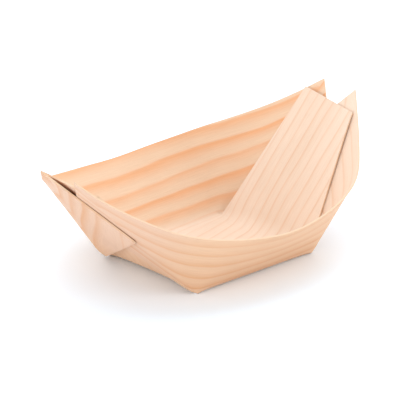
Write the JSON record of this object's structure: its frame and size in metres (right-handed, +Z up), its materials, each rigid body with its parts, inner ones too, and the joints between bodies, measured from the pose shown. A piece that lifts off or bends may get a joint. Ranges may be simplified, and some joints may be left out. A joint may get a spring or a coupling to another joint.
{
  "type": "wooden food boat",
  "caption": "Small open food boat folded from one thin sheet of pine veneer, with flared side walls, a flat base and ends that rise to paired pointed tips.",
  "frame": {"origin": "centre of the overall box, at the underside of the flat base", "axes": "+X along the boat from end to end, +Y across it, +Z up from the base to the open top"},
  "size_m": [0.1114, 0.0776, 0.0385],
  "materials": {
    "pine_veneer": "bare, unvarnished, fine straight grain along the length"
  },
  "bodies": {
    "root": {"folded_veneer_sheet": "pine_veneer"}
  },
  "joints": []
}
